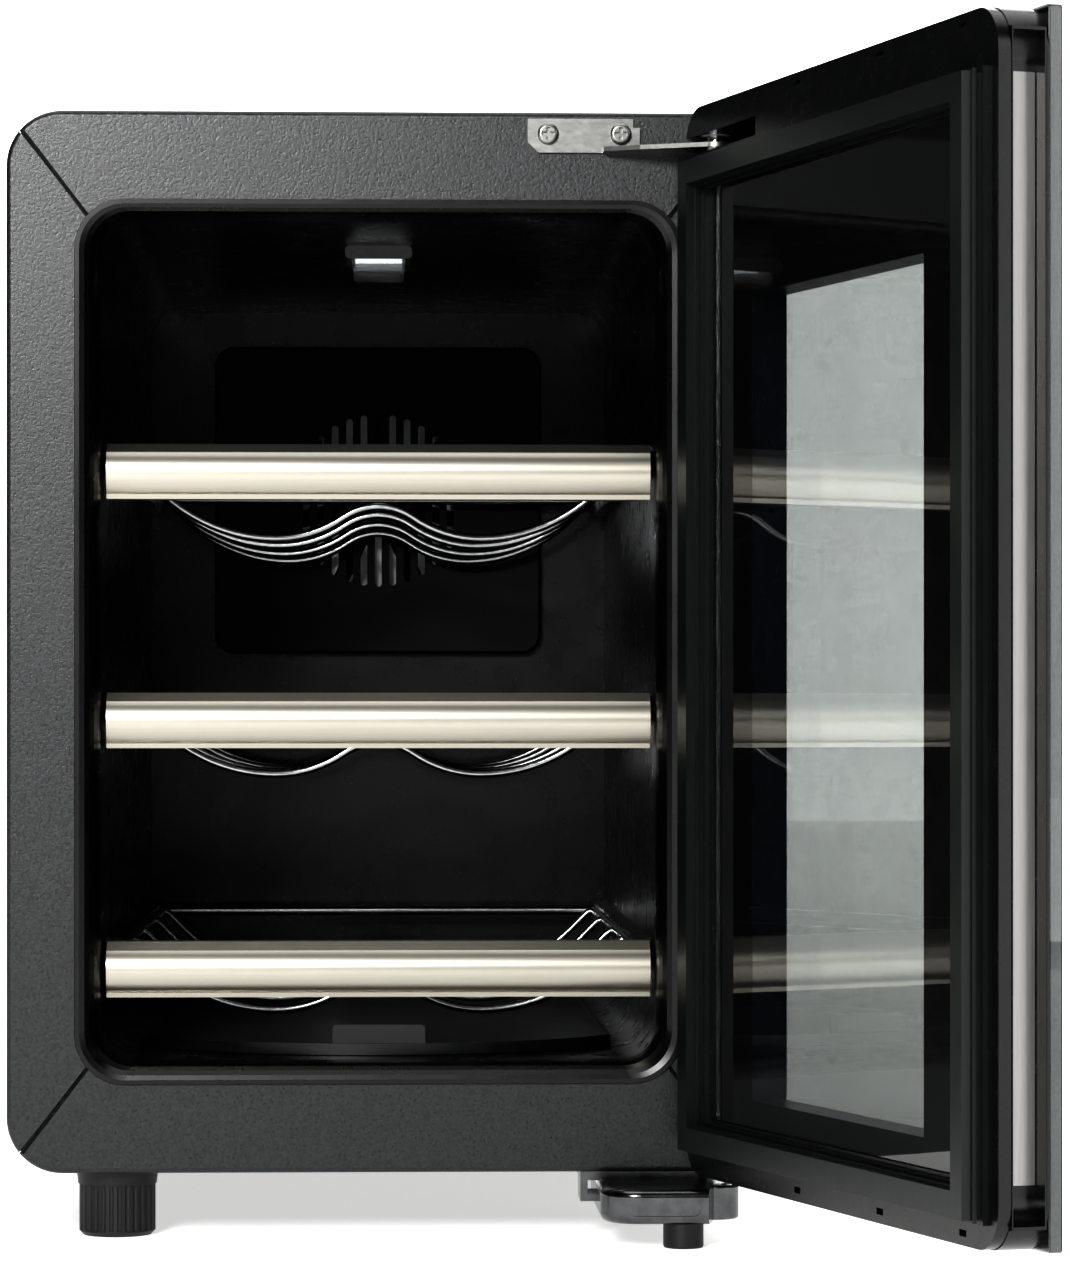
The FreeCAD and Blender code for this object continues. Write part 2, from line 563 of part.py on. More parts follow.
# ---- electrics ----------------------------------------------------------------
def power_supply():
    """Switch-mode supply: slotted metal case on the bulkhead."""
    y0 = at(BULKHEAD_AT + 1)
    case = box(-20, 95, y0, y0 + 38, up(24), up(84))
    for i in range(7):
        x = -8 + 14.0 * i
        case = case.cut(box(x, x + 4, y0 + 36.5, y0 + 39, up(34), up(74)))
    return case


def control_board():
    """Driver board on four standoffs, with a relay, a coil and terminals."""
    y0 = at(BULKHEAD_AT + 1)
    board = box(-105, -35, y0 + 6, y0 + 7.6, up(92), up(152))
    parts = [board]
    for x in (-101, -39):
        for z in (96, 148):
            parts.append(rod(x, y0, up(z), 2.5, 6.2, (0, 1, 0)))
    parts.append(box(-98, -80, y0 + 7.5, y0 + 23, up(104), up(116)))
    parts.append(rod(-55, y0 + 7.5, up(112), 7.0, 14.0, (0, 1, 0)))
    parts.append(box(-96, -44, y0 + 7.5, y0 + 17, up(134), up(142)))
    return fuse(parts)


def mains_inlet():
    """Three-pin appliance inlet with a flange on the back cover."""
    y1 = at(DEPTH)
    body = box(INLET_X - 14, INLET_X + 14, y1 - 22, y1 + 0.1, up(INLET_Z - 10.5), up(INLET_Z + 10.5))
    flange = slab(INLET_X - 18, INLET_X + 18, up(INLET_Z - 14), up(INLET_Z + 14), 3.0, y1, y1 + 2)
    whole = body.fuse(flange)
    whole = whole.cut(slab(INLET_X - 12, INLET_X + 12, up(INLET_Z - 8.3), up(INLET_Z + 8.3), 2.0,
                           y1 - 15, y1 + 3))
    for x, z in ((-7, -2), (7, -2), (0, 3)):
        whole = whole.fuse(box(INLET_X + x - 1, INLET_X + x + 1, y1 - 16, y1 - 4.5,
                               up(INLET_Z + z - 2), up(INLET_Z + z + 2)))
    return whole.removeSplitter()


def temperature_sensor():
    """Sealed probe in a clip on the recess's side wall, in the air that the fan moves."""
    x, y, z = RECESS_HALF_X - 3.4, at(380), up(226)
    probe = rod(x, y, z, 2.5, 20.0, (0, 0, 1))
    clip = box(x - 1.5, RECESS_HALF_X, y - 4, y + 4, z + 5, z + 13)
    return fuse([fillet_at(probe, 1.2, lambda c: c.z > z + 19.9), clip])


def lamp_housing():
    """Shallow housing screwed to the ceiling of the room."""
    z1 = up(ROOM_HIGH)
    housing = slab(-12, 12, z1 - 4.5, z1, 1.5, at(88), at(124))
    return housing.cut(box(-9.6, 9.6, at(90.4), at(121.6), z1 - 5, z1 - 2))


def lamp_board():
    """Board with four light-emitting diodes."""
    z1 = up(ROOM_HIGH) - 2.0
    board = box(-8.4, 8.4, at(91.6), at(120.4), z1 - 1.2, z1)
    chips = [box(-6.6 + 3.9 * i, -5.1 + 3.9 * i, at(96), at(100), z1 - 2.2, z1 - 1.1) for i in range(4)]
    return fuse([board] + chips)


def lamp_lens():
    """Clear moulded cover of the lamp."""
    z1 = up(ROOM_HIGH) - 2.0
    lens = slab(-9.4, 9.4, z1 - 8.0, z1, 1.8, at(90.6), at(121.4))
    return lens.cut(box(-8.5, 8.5, at(91.5), at(120.5), z1 - 6.8, z1 + 1))


# ---- inside --------------------------------------------------------------------
def shelf_base(number):
    """Bottom edge of a shelf's trim above the underside; shelf 0 is the lowest."""
    return LOWEST_TRIM + SHELF_PITCH * number


def wave_half(y, crest, side):
    """Half of a wave wire's centre line, from the middle crest to the side rod."""
    reach, drop = 37.0, 11.5
    turn = 2 * math.atan2(drop, reach)
    total = reach / math.sin(turn)
    crest_r = 22.0
    hollow_r = total - crest_r
    outer_r = 60.5
    rise_angle = math.radians(45)
    end_r = 6.0

    def on_arc(cx, cz, radius, angle):
        return V(side * (cx + radius * math.sin(angle)), y, crest + cz - radius * math.cos(angle))

    low_z = -drop
    start = V(0, y, crest)
    crest_mid = V(side * crest_r * math.sin(turn / 2), y, crest - crest_r + crest_r * math.cos(turn / 2))
    bend = V(side * crest_r * math.sin(turn), y, crest - crest_r + crest_r * math.cos(turn))
    low = on_arc(reach, low_z + hollow_r, hollow_r, 0)
    hollow_mid = on_arc(reach, low_z + hollow_r, hollow_r, -turn / 2)
    outer_mid = on_arc(reach, low_z + outer_r, outer_r, rise_angle / 2)
    outer_end = on_arc(reach, low_z + outer_r, outer_r, rise_angle)
    end_dx, end_dz = end_r * math.sin(rise_angle), end_r * (1 - math.cos(rise_angle))
    rod_z = crest + CREST_TO_ROD
    climb = rod_z - end_dz - outer_end.z
    top = V(outer_end.x + side * climb / math.tan(rise_angle), y, rod_z - end_dz)
    finish = V(top.x + side * end_dx, y, rod_z)
    half_angle = rise_angle / 2
    top_mid = V(finish.x - side * end_r * math.sin(half_angle), y, rod_z - end_r * (1 - math.cos(half_angle)))
    return [
        Part.Arc(start, crest_mid, bend),
        Part.Arc(bend, hollow_mid, low),
        Part.Arc(low, outer_mid, outer_end),
        Part.LineSegment(outer_end, top),
        Part.Arc(top, top_mid, finish),
    ]


def wave_wire(y, crest):
    """Round wire that carries two bottles side by side, swept in one piece from rod to rod."""
    left = [edge.toShape() for edge in wave_half(y, crest, -1)]
    right = [edge.toShape() for edge in wave_half(y, crest, 1)]
    path = Part.Wire(left[::-1] + right)
    start = left[-1].Vertexes[-1].Point
    section = Part.Wire(Part.makeCircle(WIRE_R, start, V(1, 0, 0)))
    return path.makePipeShell([section], True, False)


def rack_shape():
    """Rack of the lowest shelf: two side rods, four wave wires, a rear bar and a bar held by the trim."""
    crest = up(shelf_base(0) + 1.6)
    rod_z = crest + CREST_TO_ROD
    y0, y1 = at(TRIM_BACK - 4.0), at(RACK_END)
    pieces = [rod(side * ROD_X, y0, rod_z, ROD_R, y1 - y0, (0, 1, 0)) for side in (-1, 1)]
    pieces.append(rod(-ROD_X, y0 + ROD_R, rod_z, ROD_R, 2 * ROD_X, (1, 0, 0)))
    pieces.append(rod(-ROD_X, y1 - ROD_R, rod_z, ROD_R, 2 * ROD_X, (1, 0, 0)))
    for depth in RACK_WIRES:
        y = at(depth) - (2 * ROD_R + 1.0 if depth == RACK_END else 0)
        pieces.append(wave_wire(y, crest))
    return fuse(pieces)


def shelf_rack(number):
    """The same rack at each shelf's height."""
    rack = rack_shape()
    rack.translate(V(0, 0, SHELF_PITCH * number))
    return rack


def shelf_trim(number):
    """Extruded aluminium trim: bulged front, chamfered top, small lip below, slots behind for the rack."""
    z0, z1 = up(shelf_base(number)), up(shelf_base(number) + TRIM_HEIGHT)
    half = TRIM_WIDTH / 2
    back, front = at(TRIM_BACK), at(TRIM_FRONT)
    points = [V(-half, back, z0), V(-half, front + 3.2, z0), V(-half, front + 2.6, z0 + 1.6)]
    edges = [Part.LineSegment(points[0], points[1]), Part.LineSegment(points[1], points[2])]
    low, high = V(-half, front + 3.4, z0 + 1.7), V(-half, front + 2.4, z1 - 3.0)
    edges.append(Part.LineSegment(points[2], low))
    edges.append(Part.Arc(low, V(-half, front, (z0 + z1) / 2 - 0.5), high))
    edges.append(Part.LineSegment(high, V(-half, front + 6.0, z1)))
    edges.append(Part.LineSegment(V(-half, front + 6.0, z1), V(-half, back, z1)))
    edges.append(Part.LineSegment(V(-half, back, z1), points[0]))
    face = Part.Face(Part.Wire([edge.toShape() for edge in edges]))
    trim = face.extrude(V(TRIM_WIDTH, 0, 0))
    rod_z = up(shelf_base(number) + 1.6) + CREST_TO_ROD
    slot = ROD_R + 0.05
    trim = trim.cut(box(-half - 1, half + 1, back - 4.1, back + 1, rod_z - slot, rod_z + slot))
    trim = trim.cut(box(-half - 1, half + 1, back - 4.1, back + 1, z0 + 2.5, z0 + 9.5))
    for x in SHELF_SCREWS_X:
        trim = trim.cut(rod(x, back - 9, z0 + 6.0, 1.2, 12.0, (0, 1, 0)))
    return trim


def shelf_screws(number):
    """Screws with washers that clamp the rack's front bar into the trim."""
    screws = []
    for x in SHELF_SCREWS_X:
        z = up(shelf_base(number)) + 6.0
        screw = pan_head_screw(x, at(TRIM_BACK - 4.1), z, 3.0, 1.8, 1.15, 4.6)
        screw.rotate(V(x, at(TRIM_BACK - 4.1), z), V(0, 0, 1), 180)
        screws.append(screw)
    return Part.makeCompound(screws)


def drip_tray():
    """Shallow tray on the floor of the room, its front edge bowed forward, with an upright finger tab."""
    z0, z1 = up(ROOM_LOW + 0.3), up(42.0)
    half, nose, back = 82.0, 24.0, 332.0
    bow = 97.0
    side_y = at(nose + bow - math.sqrt(bow ** 2 - half ** 2))

    def outline(inset, z):
        h = half - inset
        corner = side_y + 0.2 * inset
        far = at(back - inset)
        edges = [
            Part.Arc(V(-h, corner, z), V(0, at(nose + inset), z), V(h, corner, z)),
            Part.LineSegment(V(h, corner, z), V(h, far, z)),
            Part.LineSegment(V(h, far, z), V(-h, far, z)),
            Part.LineSegment(V(-h, far, z), V(-h, corner, z)),
        ]
        return Part.Face(Part.Wire([edge.toShape() for edge in edges]))

    tray = outline(0.0, z0).extrude(V(0, 0, z1 - z0))
    tray = tray.cut(outline(1.6, z0 + 1.4).extrude(V(0, 0, z1 - z0)))
    tab = slab(-16.0, 16.0, z0 + 0.5, up(48.5), 1.5, at(nose + 1.5), at(nose + 3.5))
    return fuse([tray, tab])


# ---- door, built closed ----------------------------------------------------------
def w_plane(depth_in_door):
    """Y of a plane this far into the closed door from its inner face."""
    return DOOR_IN - depth_in_door


def door_slab(inset, w0, w1):
    half = WIDTH / 2 - inset
    return slab(-half, half, up(inset), up(HEIGHT - inset), DOOR_R - inset, w_plane(w1), w_plane(w0))


def hinge_edge_cut():
    """Removes the outer vertical edge at the hinge side, which swings past the front frame."""
    radius = 10.0
    x, y = WIDTH / 2 - radius, w_plane(DOOR_THICK - radius)
    corner = box(x, WIDTH / 2 + 5, w_plane(DOOR_THICK + 5), y, up(-1), up(HEIGHT + 1))
    return corner.cut(rod(x, y, up(-2), radius, HEIGHT + 4, (0, 0, 1)))


def hinge_pocket():
    """Slot in the inner side of the top rail, open to the hinge edge, that clears the hinge arm."""
    return box(62.0, WIDTH / 2 + 1, w_plane(14.4), w_plane(-1), up(344.0), up(350.2))


def bush_hole(low, high):
    return rod(HINGE_X, AXIS_Y, up(low), BUSH_R, high - low, (0, 0, 1))


def door_inner_frame():
    """Inner frame of the door, with snap notches along its top and bottom edges."""
    frame = door_slab(0.3, 0.0, INNER_FRAME)
    frame = frame.cut(box(-PANE_HALF - 0.3, PANE_HALF + 0.3, w_plane(INNER_FRAME + 1), w_plane(-1),
                          up(PANE_LOW - 0.3), up(PANE_HIGH + 0.3)))
    for x in (26.0, -40.0, -101.0):
        frame = frame.cut(box(x - 2.5, x + 2.5, w_plane(1.6), w_plane(-1), up(HEIGHT - 5), up(HEIGHT - 3)))
        frame = frame.cut(box(x - 2.5, x + 2.5, w_plane(1.6), w_plane(-1), up(3.0), up(5.0)))
    frame = frame.cut(hinge_pocket())
    frame = frame.cut(bush_hole(350.0, 358.2)).cut(bush_hole(-1.0, 12.2))
    return frame.removeSplitter()


def door_frame():
    """Main frame of the door: carries the panes, the hinge bushes and the control board."""
    frame = door_slab(0.0, INNER_FRAME, GLASS_AT)
    hinge_lip = box(WIDTH / 2 - 10.4, WIDTH / 2, w_plane(DOOR_THICK), w_plane(GLASS_AT), up(0), up(HEIGHT))
    hinge_lip = hinge_lip.common(door_slab(0.0, GLASS_AT, DOOR_THICK))
    frame = frame.fuse(hinge_lip)
    room = SPACER + 0.3
    frame = frame.cut(box(-WINDOW_HALF - room, WINDOW_HALF + room, w_plane(GLASS_AT + 1), w_plane(0),
                          up(WINDOW_LOW - room), up(WINDOW_HIGH + room)))
    frame = frame.cut(box(-PANE_HALF - 0.3, PANE_HALF + 0.3, w_plane(SPACER_AT), w_plane(0),
                          up(PANE_LOW - 0.3), up(PANE_HIGH + 0.3)))
    frame = frame.cut(box(-62, 62, w_plane(GLASS_AT + 1), w_plane(7.0), up(308), up(334)))
    frame = frame.cut(grip_space(0.15))
    frame = frame.cut(hinge_edge_cut()).cut(hinge_pocket())
    frame = frame.cut(bush_hole(350.0, 358.2)).cut(bush_hole(-1.0, 12.2))
    return frame.removeSplitter()


def grip_space(clear):
    """Space for the finger grip in the free edge of the door."""
    return box(-WIDTH / 2 - 1, -WIDTH / 2 + GRIP_DEEP + clear, w_plane(GRIP_TO + clear), w_plane(INNER_FRAME),
               up(GRIP_LOW - clear), up(GRIP_HIGH + clear))


def grip_strip_block(clear):
    """Block on the floor of the grip's channel, between its curved ends."""
    x0 = -WIDTH / 2 + GRIP_FLOOR
    side = GRIP_SIDE + STRIP_EDGE - clear
    end = GRIP_CAP + GRIP_RUN + STRIP_EDGE - clear
    return box(x0, x0 + STRIP_THICK, w_plane(GRIP_TO - side), w_plane(INNER_FRAME + side),
               up(GRIP_LOW + end), up(GRIP_HIGH - end))


def finger_grip():
    """Full-height channel for the fingers in the free edge, its ends curved outwards."""
    x0, x1 = -WIDTH / 2, -WIDTH / 2 + GRIP_DEEP
    z0, z1 = up(GRIP_LOW), up(GRIP_HIGH)
    block = box(x0, x1, w_plane(GRIP_TO), w_plane(INNER_FRAME + 0.15), z0, z1)
    deep, run = GRIP_FLOOR, GRIP_RUN
    y0, y1 = w_plane(GRIP_TO - GRIP_SIDE), w_plane(INNER_FRAME + GRIP_SIDE)
    low, high = z0 + GRIP_CAP, z1 - GRIP_CAP
    k = math.sqrt(0.5)
    bend_low, bend_high = low + run * (1 - k), high - run * (1 - k)
    edges = [
        Part.LineSegment(V(x0 - 1, y0, low), V(x0, y0, low)),
        Part.Arc(V(x0, y0, low), V(x0 + deep * k, y0, bend_low), V(x0 + deep, y0, low + run)),
        Part.LineSegment(V(x0 + deep, y0, low + run), V(x0 + deep, y0, high - run)),
        Part.Arc(V(x0 + deep, y0, high - run), V(x0 + deep * k, y0, bend_high), V(x0, y0, high)),
        Part.LineSegment(V(x0, y0, high), V(x0 - 1, y0, high)),
        Part.LineSegment(V(x0 - 1, y0, high), V(x0 - 1, y0, low)),
    ]
    hollow = Part.Face(Part.Wire([edge.toShape() for edge in edges])).extrude(V(0, y1 - y0, 0))
    return block.cut(hollow).cut(grip_strip_block(0.05)).removeSplitter()


def finger_grip_strip():
    """Satin metal strip, flush with the floor of the grip's channel."""
    return grip_strip_block(0.0)


def inner_glass():
    return slab(-PANE_HALF, PANE_HALF, up(PANE_LOW), up(PANE_HIGH), 2.0, w_plane(SPACER_AT), w_plane(0.8))


def outer_glass():
    """Outer pane: the whole front, except the rounded hinge edge."""
    pane = door_slab(0.0, GLASS_AT, DOOR_THICK)
    limit = WIDTH / 2 - 10.6
    full = box(-WIDTH / 2, limit, w_plane(DOOR_THICK), w_plane(GLASS_AT), up(0.0), up(HEIGHT))
    middle = w_plane((GLASS_AT + DOOR_THICK) / 2)
    rim = fillet_at(full, 1.5, lambda c: abs(c.x + WIDTH / 2) < 0.01 and abs(c.y - middle) < 0.1)
    right = pane.common(box(0, limit, w_plane(DOOR_THICK + 1), w_plane(GLASS_AT - 1), up(-1), up(HEIGHT + 1)))
    left = rim.common(box(-WIDTH, 0, w_plane(DOOR_THICK + 1), w_plane(GLASS_AT - 1), up(-1), up(HEIGHT + 1)))
    return left.fuse(right).removeSplitter()


def glass_spacer():
    """Aluminium spacer between the panes, around the window."""
    outer = box(-WINDOW_HALF - SPACER, WINDOW_HALF + SPACER, w_plane(GLASS_AT), w_plane(SPACER_AT),
                up(WINDOW_LOW - SPACER), up(WINDOW_HIGH + SPACER))
    inner = box(-WINDOW_HALF, WINDOW_HALF, w_plane(GLASS_AT + 1), w_plane(SPACER_AT - 1),
                up(WINDOW_LOW), up(WINDOW_HIGH))
    return outer.cut(inner)


def gasket_ring(grow, w0, w1):
    """Rectangular ring on the gasket's centre line, as wide as twice grow."""
    def block(offset):
        return box(SEAL_X - SEAL_HALF - offset, SEAL_X + SEAL_HALF + offset, w_plane(w1), w_plane(w0),
                   up(SEAL_LOW - offset), up(SEAL_HIGH + offset))
    return block(grow).cut(block(-grow))


def door_gasket():
    """Soft seal with a wide foot, a bellows waist and a broad magnetic head."""
    pieces = [gasket_ring(5.5, -1.6, 0.0), gasket_ring(3.6, -3.4, -1.5), gasket_ring(4.8, -4.6, -3.3),
              gasket_ring(4.0, -7.7, -4.5)]
    ring = fuse(pieces)
    return ring.cut(gasket_ring(2.6, -6.7, 1.0))


def gasket_magnets():
    """Flexible magnet strips inside the seal's head."""
    wide, end = 2.4, 8.0
    y0, y1 = w_plane(-4.4), w_plane(-6.6)
    strips = []
    for x in (SEAL_X - SEAL_HALF, SEAL_X + SEAL_HALF):
        strips.append(box(x - wide, x + wide, y0, y1, up(SEAL_LOW + end), up(SEAL_HIGH - end)))
    for z in (SEAL_LOW, SEAL_HIGH):
        strips.append(box(SEAL_X - SEAL_HALF + end, SEAL_X + SEAL_HALF - end, y0, y1,
                          up(z - wide), up(z + wide)))
    return Part.makeCompound(strips)


def touch_control_board():
    """Touch and display board behind the outer pane's top band."""
    board = box(-55, 55, w_plane(14.0), w_plane(12.4), up(312), up(330))
    display = box(-14, 14, w_plane(15.8), w_plane(13.9), up(315), up(327))
    pads = [box(x - 5, x + 5, w_plane(15.8), w_plane(13.9), up(316), up(326)) for x in (-44, -28, 28, 44)]
    posts = [rod(x, w_plane(7.0), up(321), 2.0, 5.5, (0, -1, 0)) for x in (-52, 52)]
    return fuse([board, display] + pads + posts)


def hinge_bush(low, high, bore_r):
    """Plain flanged bush in the door."""
    bush = rod(HINGE_X, AXIS_Y, up(low), BUSH_R, high - low, (0, 0, 1))
    return bush.cut(rod(HINGE_X, AXIS_Y, up(low - 1), bore_r, high - low, (0, 0, 1)))


def build_cabinet():
    front_frame()
    save("outer_shell", outer_shell())
    save("base_pan", base_pan())
    save("inner_liner", inner_liner())
    save("foam_insulation", foam_insulation())
    save("rear_bulkhead", rear_bulkhead())
    save("rear_cover", rear_cover())
    save("rear_screws", rear_screws())
    save("front_foot", front_foot())
    save("front_foot_stud", front_foot_stud())
    save("rear_feet", rear_feet())
    save("top_hinge_plate", top_hinge_plate())
    save("top_hinge_pin", top_hinge_pin())
    save("top_hinge_screws", top_hinge_screws())
    save("bottom_hinge_bracket", bottom_hinge_bracket())
    save("bottom_hinge_pin", bottom_hinge_pin())
    save("bottom_hinge_screws", bottom_hinge_screws())
    save("hinge_foot", hinge_foot())


def build_cooling():
    save("cold_sink", heat_sink(50.0, 48.0, at(392), at(RECESS_DEPTH), at(378), 16))
    save("cold_block", box(-BLOCK_HALF, BLOCK_HALF, at(RECESS_DEPTH), at(BULKHEAD_AT),
                           up(FAN_Z) - BLOCK_HALF, up(FAN_Z) + BLOCK_HALF))
    save("thermoelectric_module", box(-BLOCK_HALF, BLOCK_HALF, at(BULKHEAD_AT), at(BULKHEAD_AT + 4),
                                      up(FAN_Z) - BLOCK_HALF, up(FAN_Z) + BLOCK_HALF))
    save("hot_sink", heat_sink(64.0, 56.0, at(422), at(427), at(446), 22))
    save("cold_fan_frame", fan_frame(40.0, at(365), at(377), 38.0, 14.0, at(375), at(377)))
    save("cold_fan_rotor", fan_rotor(at(365.5), at(374.5), 14.0, 37.2, 7))
    save("hot_fan_frame", fan_frame(46.0, at(447), at(462), 44.0, 17.0, at(460), at(462)))
    save("hot_fan_rotor", fan_rotor(at(447.5), at(459.5), 17.0, 43.0, 9))
    save("interior_fan_cover", interior_fan_cover())


def build_electrics():
    save("power_supply", power_supply())
    save("control_board", control_board())
    save("mains_inlet", mains_inlet())
    save("temperature_sensor", temperature_sensor())
    save("lamp_housing", lamp_housing())
    save("lamp_board", lamp_board())
    save("lamp_lens", lamp_lens())


def build_inside():
    save("drip_tray", drip_tray())
    for number in range(3):
        name = "shelf_%d_" % (3 - number)
        save(name + "rack", shelf_rack(number))
        save(name + "trim", shelf_trim(number))
        save(name + "screws", shelf_screws(number))


def build_door():
    pieces = {
        "door_frame": door_frame(),
        "door_inner_frame": door_inner_frame(),
        "finger_grip": finger_grip(),
        "finger_grip_strip": finger_grip_strip(),
        "outer_glass": outer_glass(),
        "inner_glass": inner_glass(),
        "glass_spacer": glass_spacer(),
        "door_gasket": door_gasket(),
        "gasket_magnets": gasket_magnets(),
        "touch_control_board": touch_control_board(),
        "top_hinge_bush": hinge_bush(350.2, 358.0, TOP_PIN_R + 0.05),
        "bottom_hinge_bush": hinge_bush(0.3, 12.0, BOTTOM_PIN_R + 0.05),
    }
    for name, shape in pieces.items():
        shape.rotate(V(HINGE_X, AXIS_Y, 0), V(0, 0, 1), DOOR_OPEN)
        save(name, shape)


os.makedirs("parts", exist_ok=True)
build_cabinet()
build_cooling()
build_electrics()
build_inside()
build_door()
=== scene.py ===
"""Looks of a six-bottle thermoelectric wine cooler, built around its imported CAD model, in metres.

X to the right, Y into the depth, Z up. The door is modelled closed where that is simpler,
and swung open about its hinge with door_place().
"""
import json
import math

import bmesh
import bpy
from mathutils import Matrix, Vector


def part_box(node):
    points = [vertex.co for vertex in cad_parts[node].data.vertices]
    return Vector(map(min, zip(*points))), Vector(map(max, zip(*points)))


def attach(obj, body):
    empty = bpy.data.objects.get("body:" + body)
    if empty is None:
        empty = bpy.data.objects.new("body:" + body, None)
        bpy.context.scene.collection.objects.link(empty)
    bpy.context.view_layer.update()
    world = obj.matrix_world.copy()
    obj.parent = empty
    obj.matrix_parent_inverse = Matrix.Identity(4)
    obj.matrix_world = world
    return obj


bl_info = {
    "name": "Wine cooler",
    "version": (1, 0, 0),
    "blender": (4, 5, 0),
    "location": "3D View > Sidebar > Wine cooler",
    "description": "Adds finishes, pane prints and a stage to a wine cooler",
    "category": "Add Mesh",
}

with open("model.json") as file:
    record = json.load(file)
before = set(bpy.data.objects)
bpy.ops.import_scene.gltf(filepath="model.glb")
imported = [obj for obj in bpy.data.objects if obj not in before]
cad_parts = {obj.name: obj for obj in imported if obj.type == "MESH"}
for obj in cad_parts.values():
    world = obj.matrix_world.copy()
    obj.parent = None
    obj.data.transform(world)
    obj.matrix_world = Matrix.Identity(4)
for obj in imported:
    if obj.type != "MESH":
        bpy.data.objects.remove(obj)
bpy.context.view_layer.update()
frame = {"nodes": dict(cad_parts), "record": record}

MM = 0.001
JOINTS = {joint["name"]: joint for joint in frame["record"]["behaviour"]["joints"]}
HINGE = JOINTS["door_hinge"]
PIVOT = Vector(HINGE["pos_m"][:2] + [0.0])
SWING = -math.radians(HINGE["range_deg"][0])
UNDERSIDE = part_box("front_frame_bottom")[0].z
FACE_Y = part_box("front_frame_bottom")[0].y
DOOR_GAP = 8 * MM
WINDOW = (-69 * MM, 69 * MM, UNDERSIDE + 29 * MM, UNDERSIDE + 293 * MM)
INNER_PANE = (-99 * MM, 99 * MM, UNDERSIDE + 20.5 * MM, UNDERSIDE + 331.5 * MM)
OUTER_PANE = (-125 * MM, 114 * MM, UNDERSIDE + 1 * MM, UNDERSIDE + 359 * MM)
RIM = (-125.55 * MM, 114.95 * MM, UNDERSIDE + 0.45 * MM, UNDERSIDE + 359.55 * MM)

# Depths in the closed door, in millimetres from its inner face.
INNER_PRINT_AT = 3.7
OUTER_PRINT_AT = 16.3
RIM_FROM, RIM_TO = 16.5, 19.7

# The grain that every finish varies by.
GRAIN_DETAIL = 4.0
GRAIN_ROUGHNESS = 0.6
GRAIN_LOW, GRAIN_HIGH = 0.3, 0.7
COAT_ROUGHNESS = 0.08

# Stage, in metres. A light has its power's setting, its place, its size and the spot it points at.
FLOOR_SIZE = (14, 14)
SCREEN_SIZE = (2.8, 1.8)
SCREEN_PLACE = (0.25, 6.0, 0.9)
OBJECT_MIDDLE = (0, -0.2, 0.2)
LIGHTS = {
    "key_light": ("key_power", (-0.62, -2.3, 0.98), (0.5, 0.5), OBJECT_MIDDLE),
    "top_light": ("top_power", (0.0, 0.0, 2.3), (2.4, 2.4), (0, 0.01, 0)),
    "fill_light": ("fill_power", (1.5, -1.6, 0.7), (0.6, 1.4), OBJECT_MIDDLE),
    "front_strip": ("front_power", (-0.28, -2.6, 1.0), (0.7, 0.3), OBJECT_MIDDLE),
    "back_light": ("back_power", (0.3, 3.6, 2.2), (4.0, 4.0), (0.3, 3.61, 0)),
}
CAMERA_X = -0.001
CAMERA_TURN = math.radians(-2.005)
CAMERA_LENS = 129.75
CAMERA_SENSOR = 36
CAMERA_SHIFT = 0.0694


# ---- helpers -----------------------------------------------------------------
def srgb(text):
    """Hex colour to linear values with full alpha."""
    values = [int(text[i:i + 2], 16) / 255 for i in (1, 3, 5)]
    linear = [v / 12.92 if v <= 0.04045 else ((v + 0.055) / 1.055) ** 2.4 for v in values]
    return tuple(linear) + (1.0,)


def put(tree, kind, values=None, links=None, **settings):
    """Adds a node with its settings, socket values and links."""
    node = tree.nodes.new(kind)
    for key, value in settings.items():
        setattr(node, key, value)
    for key, value in (values or {}).items():
        node.inputs[key].default_value = value
    for key, (source, socket) in (links or {}).items():
        tree.links.new(source.outputs[socket], node.inputs[key])
    return node


def door_place():
    """Matrix from the closed door to the door as it stands."""
    return Matrix.Translation(PIVOT) @ Matrix.Rotation(SWING, 4, "Z") @ Matrix.Translation(-PIVOT)


def door_plane(depth_mm):
    """Y of a plane this far into the closed door from its inner face."""
    return FACE_Y - DOOR_GAP - depth_mm * MM


def start(name):
    """An empty material's tree with an output, ready for its shader."""
    material = bpy.data.materials.new(name)
    material.use_nodes = True
    material.node_tree.nodes.clear()
    return material, material.node_tree


